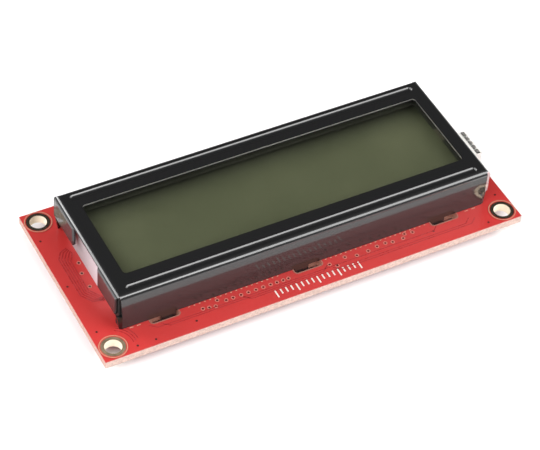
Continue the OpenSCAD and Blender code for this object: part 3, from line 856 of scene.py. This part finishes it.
# %% Tracks on the back
SOCKET_TRACKS, SOCKET_TRACK_PITCH = 4, 0.5
CHIP_CLEAR, CHIP_RUN = 1.6, 3.5
SOCKET_CLEAR, SOCKET_RUN = 1.5, 4.0
HEADER_TRACKS = 8
HEADER_CLEAR, HEADER_RUN, HEADER_STEP = 1.8, 3.4, 0.3
CHIP_LOW, CHIP_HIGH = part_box("microcontroller_body")
SOCKET_LOW, SOCKET_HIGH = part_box("connector_housing")
chip_x = (CHIP_LOW.x + CHIP_HIGH.x) / 2 / MM
chip_y = (CHIP_LOW.y + CHIP_HIGH.y) / 2 / MM
socket_y = (SOCKET_LOW.y + SOCKET_HIGH.y) / 2 / MM
chip_right, chip_rear, socket_left = CHIP_HIGH.x / MM, CHIP_HIGH.y / MM, SOCKET_LOW.x / MM
back_tracks = new_pile()
for i in range(SOCKET_TRACKS):
    step = SOCKET_TRACK_PITCH * (i - (SOCKET_TRACKS - 1) / 2)
    path = [(chip_right + CHIP_CLEAR, chip_y + step), (chip_right + CHIP_RUN, chip_y + step),
            (socket_left - SOCKET_RUN, socket_y + step),
            (socket_left - SOCKET_CLEAR, socket_y + step)]
    add_rib(back_tracks, path, TRACK_W, BACK - TRACK_H, BACK)
for i in range(HEADER_TRACKS):
    x = chip_x - (HEADER_TRACKS - 1) / 2 + i
    path = [(x, chip_rear + HEADER_CLEAR), (x, chip_rear + HEADER_RUN + HEADER_STEP * i)]
    add_rib(back_tracks, path, TRACK_W, BACK - TRACK_H, BACK)
finish_pile(back_tracks, "back_tracks", track_red)

# %% [markdown]
# The display is a stack of clear layers, and what looks like one olive pane is light that goes
# down through the front film, comes back from the reflecting film under the rear glass and
# crosses the front film again. One olive pane would be simpler, but the depth under the frame
# would be lost. So the front film only tints what passes it, with a little gloss on top, and the
# glass and the liquid crystal are almost clear. They are laminated, so the faces between them
# hardly mirror anything. A clear layer lets light straight through, without bending it, which
# keeps the layers free of noise.

# %% Clear layers of the display
FILM_TINT, FILM_GLOSS = (0.85, 0.85, 0.82), 0.007
GLASS_TINT = (0.995, 0.998, 0.996)
CRYSTAL_TINT = (0.99, 0.99, 0.985)
INNER_GLOSS, INNER_GRAZING_GLOSS = 0.0002, 0.005


def clear_layer(name, tint, gloss, grazing_gloss=0.5, roughness=0.03, uneven=0.01):
    """A layer that tints what passes and mirrors a share of it, more at a grazing angle."""
    material = bpy.data.materials.new(name)
    material.use_nodes = True
    tree = material.node_tree
    tree.nodes.remove(tree.nodes["Principled BSDF"])
    place = tree.nodes.new("ShaderNodeTexCoord").outputs["Object"]
    window = tree.nodes.new("ShaderNodeBsdfTransparent")
    patches = stretch(tree, noise(tree, place, 14), 0, 1)
    tree.links.new(blend_colours(tree, patches, *shades(tint, uneven)), window.inputs["Color"])
    mirror = tree.nodes.new("ShaderNodeBsdfGlossy")
    mirror.inputs["Roughness"].default_value = roughness
    slant = tree.nodes.new("ShaderNodeLayerWeight").outputs["Facing"]
    grazing = calculate(tree, "POWER", slant, 4)
    both = tree.nodes.new("ShaderNodeMixShader")
    tree.links.new(stretch(tree, grazing, gloss, grazing_gloss, 0, 1), both.inputs["Fac"])
    tree.links.new(window.outputs["BSDF"], both.inputs[1])
    tree.links.new(mirror.outputs["BSDF"], both.inputs[2])
    tree.links.new(both.outputs["Shader"], tree.nodes["Material Output"].inputs["Surface"])
    return material


glass = clear_layer("display_glass", GLASS_TINT, INNER_GLOSS, INNER_GRAZING_GLOSS)
crystal = clear_layer("liquid_crystal", CRYSTAL_TINT, INNER_GLOSS, INNER_GRAZING_GLOSS)
dress("front_polarizer", clear_layer("polarizing_film", FILM_TINT, FILM_GLOSS, roughness=0.2))
dress("front_glass", glass)
dress("rear_glass", glass)
dress("liquid_crystal", crystal)
print("clear layers dressed")

# %% [markdown]
# The depth of the stack shows by itself: towards the back and the right one looks under the
# frame, where the reflecting film lies in its shade. On top of that the film's colour darkens
# softly towards the back: painted shade. Between the glasses runs the epoxy seal, and two strips
# of rubber, which conduct, join the front glass to the board. The seal and the plug of the fill
# port lie under the frame, and they are darkened as painted shade.

# %% Reflecting film, seal and rubber strips
BACK_FILM = (0.1, 0.11, 0.067)
BACK_FILM_PAINTED_SHADE = (0.025, 0.028, 0.021)
SHADE_START, SHADE_END = 2.5 * MM, 9.5 * MM


def reflecting_film():
    """Olive film, with painted shade that darkens it towards the header side."""
    material, tree, shader, place = new_finish("reflecting_film", BACK_FILM, 0.5)
    across = stretch(tree, axes(tree, place)[1], 0, 1, SHADE_START, SHADE_END)
    shade = calculate(tree, "POWER", across, 2)
    patches = stretch(tree, noise(tree, place, 5), 0, 1)
    plain = blend_colours(tree, patches, *shades(BACK_FILM, 0.02))
    tree.links.new(blend_colours(tree, shade, plain, BACK_FILM_PAINTED_SHADE), shader.inputs["Base Color"])
    add_bump(tree, shader, noise(tree, place, 3), 0.001)
    return material


dress("rear_polarizer", reflecting_film())
# The dark colours of the seal and the plug are painted shade under the frame.
dress("cell_seal", mottled_finish("seal_epoxy", (0.032, 0.034, 0.026), 0.5, 0.3, 0.001))
dress("fill_port_plug", mottled_finish("plug_resin", (0.1, 0.095, 0.07), 0.3, 0.4, 0.01))
rubber = mottled_finish("silicone_rubber", (0.16, 0.15, 0.14), 0.6, 0.4, 0.004)
dress("elastomer_front", rubber)
dress("elastomer_rear", rubber)
print("display dressed")

# %% [markdown]
# Under the cell lies the backlight, in a white moulded tray. Towards the header side the tray is
# painted greyer: painted shade. The stops that hold the glass on the tray's ends and the tray's
# front corner lie in the shade of the frame, and they are painted dark as painted shade.

# %% Tray of the backlight
TRAY_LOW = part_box("backlight_housing")[0]
TRAY_WHITE = (0.6, 0.54, 0.57)
TRAY_PAINTED_SHADE = (0.3, 0.29, 0.3)
TRAY_SHADE_START, TRAY_SHADE_END = -3 * MM, 5 * MM
STOP_PAINTED_SHADE = (0.06, 0.06, 0.06)
STOP_FROM = TOP + 5.42 * MM
SHADED_CORNER_W = 1.5 * MM


def tray_finish():
    """White moulding with painted shade: greyer towards the header side, dark on the glass stops
    and in front.
    """
    material, tree, shader, place = new_finish("white_moulding", TRAY_WHITE, 0.35)
    _, y, z = axes(tree, place)
    # Painted shade: the tray greys towards the header side.
    grey = stretch(tree, y, 0, 1, TRAY_SHADE_START, TRAY_SHADE_END)
    moulding = blend_colours(tree, grey, TRAY_WHITE, TRAY_PAINTED_SHADE)
    # Painted shade: the glass stops and the front corner are dark.
    stops = calculate(tree, "GREATER_THAN", z, STOP_FROM)
    corner = calculate(tree, "LESS_THAN", y, TRAY_LOW.y + SHADED_CORNER_W)
    dark = calculate(tree, "MAXIMUM", stops, corner)
    tree.links.new(blend_colours(tree, dark, moulding, STOP_PAINTED_SHADE), shader.inputs["Base Color"])
    add_bump(tree, shader, noise(tree, place, 0.8), 0.004)
    return material


dress("backlight_housing", tray_finish())
print("glass stops from", round(STOP_FROM / MM, 2), "mm up")

# %% [markdown]
# In the tray a clear light guide lies between a diffusing sheet and a reflecting one. White
# plastic and film scatter light, so they are rough and only faintly mottled. At the end of the
# guide stands a strip with three small lamps of yellow resin.

# %% Sheets, light guide and strip of the backlight
white_film = mottled_finish("white_film", (0.85, 0.85, 0.85), 0.5, 0.5, 0.002, tone=0.02)
dress("diffuser_sheet", white_film)
dress("reflector_sheet", white_film)
dress("light_guide", clear_layer("clear_acrylic", (0.97, 0.985, 0.985), 0.03))
dress("led_strip", mottled_finish("white_laminate", (0.72, 0.7, 0.6), 0.4, 0.4, 0.003))
dress("backlight_leds", mottled_finish("led_resin", (0.8, 0.7, 0.2), 0.3, 0.3, 0.003))
print("backlight dressed")

# %% [markdown]
# The connector's housing is moulded from natural nylon, which is nearly white. The parts behind
# the board are the usual ones: black moulded packages, blobs of black resin over the driver
# chips, tan ceramic capacitors and black glazed resistors.

# %% Connector and the parts behind the board
nylon = mottled_finish("natural_nylon", (0.72, 0.7, 0.66), 0.4, 0.4, 0.004, tone=0.04)
dress("connector_housing", nylon)
black_resin = mottled_finish("moulded_black_resin", (0.02, 0.02, 0.021), 0.45, 0.1, 0.003)
for name in ("driver_glob_tops", "microcontroller_body", "regulator_body", "transistor_bodies"):
    dress(name, black_resin)
dress("chip_resistors", mottled_finish("black_glaze", (0.02, 0.02, 0.02), 0.25, 0.2, 0.001))
tan_ceramic = mottled_finish("tan_ceramic", (0.4, 0.27, 0.14), 0.5, 0.15, 0.002)
dress("chip_capacitors", tan_ceramic)
dress("resonator_body", tan_ceramic)
print("small parts dressed")

# %% [markdown]
# Along the mouth of the connector the top face shows a grey strip with a row of darker spots at
# the pitch of the contacts, and the darker spots are painted shade. Both are thin skins in its
# top face.

# %% Strip over the connector's mouth
SPOTS, SPOT_PITCH = 5, 1.2
MOUTH_X, GREY_W, GREY_L = 39.4, 0.75, SPOT_PITCH * 0.9
SPOT_X, SPOT_SIZE = MOUTH_X + 0.05, 0.6
SKIN_LOW, SPOT_HIGH = SOCKET_HIGH.z - 0.05 * MM, SOCKET_HIGH.z + 0.01 * MM
mouth_strip, spots = new_pile(), new_pile()
for i in range(SPOTS):
    y = socket_y + (i - (SPOTS - 1) / 2) * SPOT_PITCH
    add_bar(mouth_strip, MOUTH_X, y, GREY_W, GREY_L, SKIN_LOW, SOCKET_HIGH.z)
    add_bar(spots, SPOT_X, y, SPOT_SIZE, SPOT_SIZE, SKIN_LOW, SPOT_HIGH)
nylon_grey = mottled_finish("mouth_grey_nylon", (0.5, 0.48, 0.46), 0.4, 0.4, 0.004)
# The darker spots are painted shade.
painted_spot_shade = mottled_finish("painted_contact_shade", (0.2, 0.19, 0.18), 0.4, 0.3, 0.004)
finish_pile(mouth_strip, "mouth_strip", nylon_grey)
finish_pile(spots, "mouth_shade_spots", painted_spot_shade)

# %% [markdown]
# The camera stands to the left in front of the module and looks down on it through a long lens,
# so the perspective is weak. Its place and its three directions are given in full, which keeps
# the view exact.

# %% Camera
camera = bpy.data.objects.new("camera", bpy.data.cameras.new("camera"))
bpy.context.scene.collection.objects.link(camera)
camera.data.lens = 143.2157
camera.data.sensor_width = 36
right = Vector((0.88615891, -0.46025992, 0.05369525))
up = Vector((0.30008678, 0.65830823, 0.69034643))
back = Vector((-0.35308682, -0.59564341, 0.72148362))
turn = Matrix((right, up, back)).transposed()
camera.matrix_world = Matrix.Translation(Vector((-0.13289, -0.22355, 0.27033))) @ turn.to_4x4()
bpy.context.scene.camera = camera
print("camera at", [round(c, 3) for c in camera.matrix_world.translation])

# %% [markdown]
# The module lies on a white table. The table throws light back on the part and is seen in its
# gloss, but it doesn't belong to the part, so it is not attached to the body.

# %% Table
def flat_sheet(name, width, depth, at):
    """A flat staged sheet with its middle at a place."""
    mesh = bpy.data.meshes.new(name)
    w, d = width / 2, depth / 2
    mesh.from_pydata([(-w, -d, 0), (w, -d, 0), (w, d, 0), (-w, d, 0)], [], [(0, 1, 2, 3)])
    sheet = bpy.data.objects.new(name, mesh)
    sheet.location = at
    bpy.context.scene.collection.objects.link(sheet)
    return sheet


FLOOR_Z = cad_box[0].z
table_white = mottled_finish("white_table", (0.82, 0.82, 0.82), 0.7, 20, 0.01, tone=0.01)
table = flat_sheet("table_top", 3, 3, (0, 0, FLOOR_Z))
table.data.materials.append(table_white)
print("table at z", round(FLOOR_Z / MM, 2), "mm")

# %% [markdown]
# What a glossy black frame shows is the room around it, so the lamps are placed for their
# reflections. A fold mirrors one thin slice of the room along its whole length: the big lamp in
# front and to the right draws the bright line along the front fold and in the beads, and the
# lamp behind on the left draws the one along the left fold. Two lamps do half a lamp's work:
# the one over the module lights it but isn't seen in its gloss, and the one straight in front is
# seen in the gloss but lights no matt surface. The lamp high on the left is seen in no fold; it
# only fills the shadows. Two more, behind and to the right, fill in from there.

# %% Lamps
LAMP_DISTANCE = 0.9


def soft_lamp(name, direction, width, height, brightness):
    """A soft box that faces the module; brightness is what a mirror would show of it."""
    data = bpy.data.lights.new(name, "AREA")
    data.shape = "RECTANGLE"
    data.size = width
    data.size_y = height
    data.energy = brightness * math.pi * width * height
    lamp = bpy.data.objects.new(name, data)
    lamp.location = Vector(direction).normalized() * LAMP_DISTANCE
    lamp.rotation_mode = "QUATERNION"
    lamp.rotation_quaternion = Vector(direction).to_track_quat("Z", "Y")
    bpy.context.scene.collection.objects.link(lamp)
    print(name, round(data.energy, 1), "W")
    return lamp


soft_lamp("lamp_front_right", (0.50, -0.64, 0.58), 0.58, 0.54, 8)
over_lamp = soft_lamp("lamp_over", (0.15, 0.45, 0.87), 0.5, 0.4, 3)
over_lamp.visible_glossy = False
front_lamp = soft_lamp("lamp_front", (0.115, -0.80, 0.58), 0.38, 0.4, 3)
front_lamp.visible_diffuse = False
soft_lamp("lamp_rear_left", (-0.62, 0.596, 0.5), 0.34, 0.4, 6.3)
soft_lamp("lamp_high_left", (-0.8, -0.2, 0.8), 0.8, 0.8, 4.8)
soft_lamp("lamp_rear", (-0.5, 0.8, 0.36), 0.4, 0.4, 6)
soft_lamp("lamp_right", (0.85, -0.2, 0.45), 0.45, 0.5, 6)

# %% [markdown]
# A dark card in front of a glossy thing gives the fold above the wall a dark line, which sets off
# its bright one. Here the card is seen by reflections only.

# %% Dark card for the reflections
CARD_W, CARD_D = 1.0, 0.36
CARD_Y = -0.225
card = flat_sheet("dark_card", CARD_W, CARD_D, (0, CARD_Y, FLOOR_Z + 0.5 * MM))
card.data.materials.append(mottled_finish("black_card", (0.02, 0.02, 0.02), 0.8, 5, 0.01))
card.visible_camera = False
card.visible_diffuse = False
card.visible_shadow = False
print("card in front, from y", round(CARD_Y + CARD_D / 2, 3), "m")

# %% [markdown]
# A faint even room light keeps the deepest shadows readable. The view transform is the plain
# one, so that the white table stays white. A ray on its way through the display crosses many
# clear faces, and it may cross enough of them to come out again.

# %% Room light and view
ROOM_GREY = (0.085, 0.085, 0.085)
world = bpy.data.worlds.new("studio")
bpy.context.scene.world = world
world.use_nodes = True
room = world.node_tree.nodes["Background"]
room.inputs["Color"].default_value = (*ROOM_GREY, 1)
room.inputs["Strength"].default_value = 1
bpy.context.scene.view_settings.view_transform = "Standard"
bpy.context.scene.cycles.transparent_max_bounces = 24
print("room light", ROOM_GREY[0])

# %% [markdown]
# Last, a line is printed to mark the end.

# %% End
print("end of the dressing")
